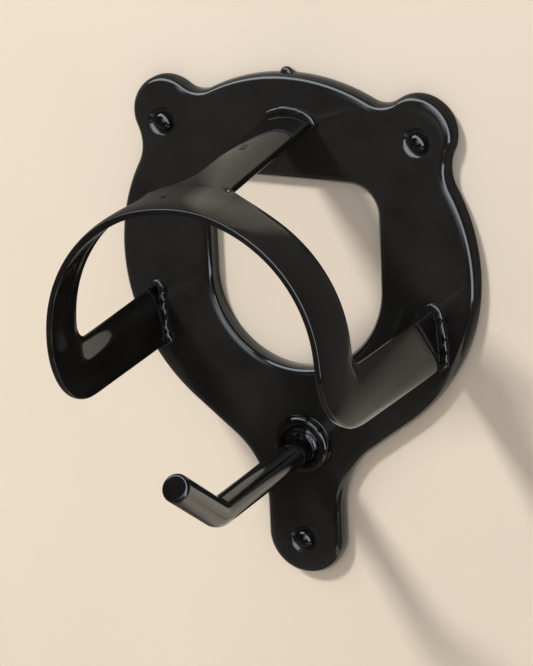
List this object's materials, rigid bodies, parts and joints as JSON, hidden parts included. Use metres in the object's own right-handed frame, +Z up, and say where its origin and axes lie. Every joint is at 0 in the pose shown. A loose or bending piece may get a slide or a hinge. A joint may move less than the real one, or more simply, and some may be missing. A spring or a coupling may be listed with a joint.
{
  "type": "bridle_rack",
  "caption": "Wall-mounted bridle rack: black coated steel plate with an arched band on two side legs and a top arm to carry a headstall, and a bent hook rod below it for reins.",
  "frame": {"origin": "On the wall plane, behind the centre of the plate's round disc", "axes": "+X to the right seen from the front, +Y into the wall, +Z up; the rack stands out towards -Y"},
  "size_m": [0.15, 0.1478, 0.2043],
  "materials": {
    "plate_coating": "thick gloss black powder coat over pressed steel sheet, with slight orange peel",
    "strip_coating": "thick gloss black powder coat over a steel strip",
    "weld_coating": "gloss black powder coat flowed over rippled weld beads",
    "rod_coating": "gloss black powder coat over round steel rod",
    "screw_black": "smooth black lacquered screw heads over plated steel shanks"
  },
  "bodies": {
    "root": {"back_plate": "plate_coating", "bow": "strip_coating", "top_arm": "strip_coating", "arm_seam_weld": "weld_coating", "top_foot_weld": "weld_coating", "left_foot_weld": "weld_coating", "right_foot_weld": "weld_coating", "hook_rod": "rod_coating", "hook_collar": "rod_coating", "hook_weld": "weld_coating", "left_screw": "screw_black", "right_screw": "screw_black", "lower_screw": "screw_black"}
  },
  "joints": []
}
